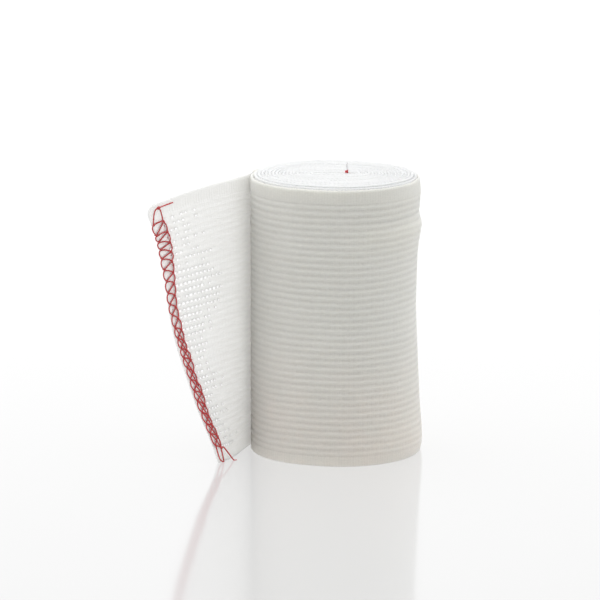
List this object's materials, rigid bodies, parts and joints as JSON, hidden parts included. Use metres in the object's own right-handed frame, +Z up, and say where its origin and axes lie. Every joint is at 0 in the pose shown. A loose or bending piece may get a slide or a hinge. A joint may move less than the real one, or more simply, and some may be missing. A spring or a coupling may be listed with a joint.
{
  "type": "elastic bandage roll",
  "caption": "Knitted elastic bandage wound into a roll that stands on end, with its stitched free end bent away at one side.",
  "frame": {"origin": "middle of the roll's flat core, on the surface that the roll stands on", "axes": "+Z up along the axis of the roll; -Y towards the side from which the inner face of the free end shows; the free end leaves towards -X"},
  "size_m": [0.0963, 0.0608, 0.1],
  "materials": {
    "knit": "matte ribbed elastic knit",
    "seam_thread": "dark red overlock thread"
  },
  "bodies": {
    "root": {"wound_turns": "knit", "free_end": "knit"}
  },
  "joints": []
}
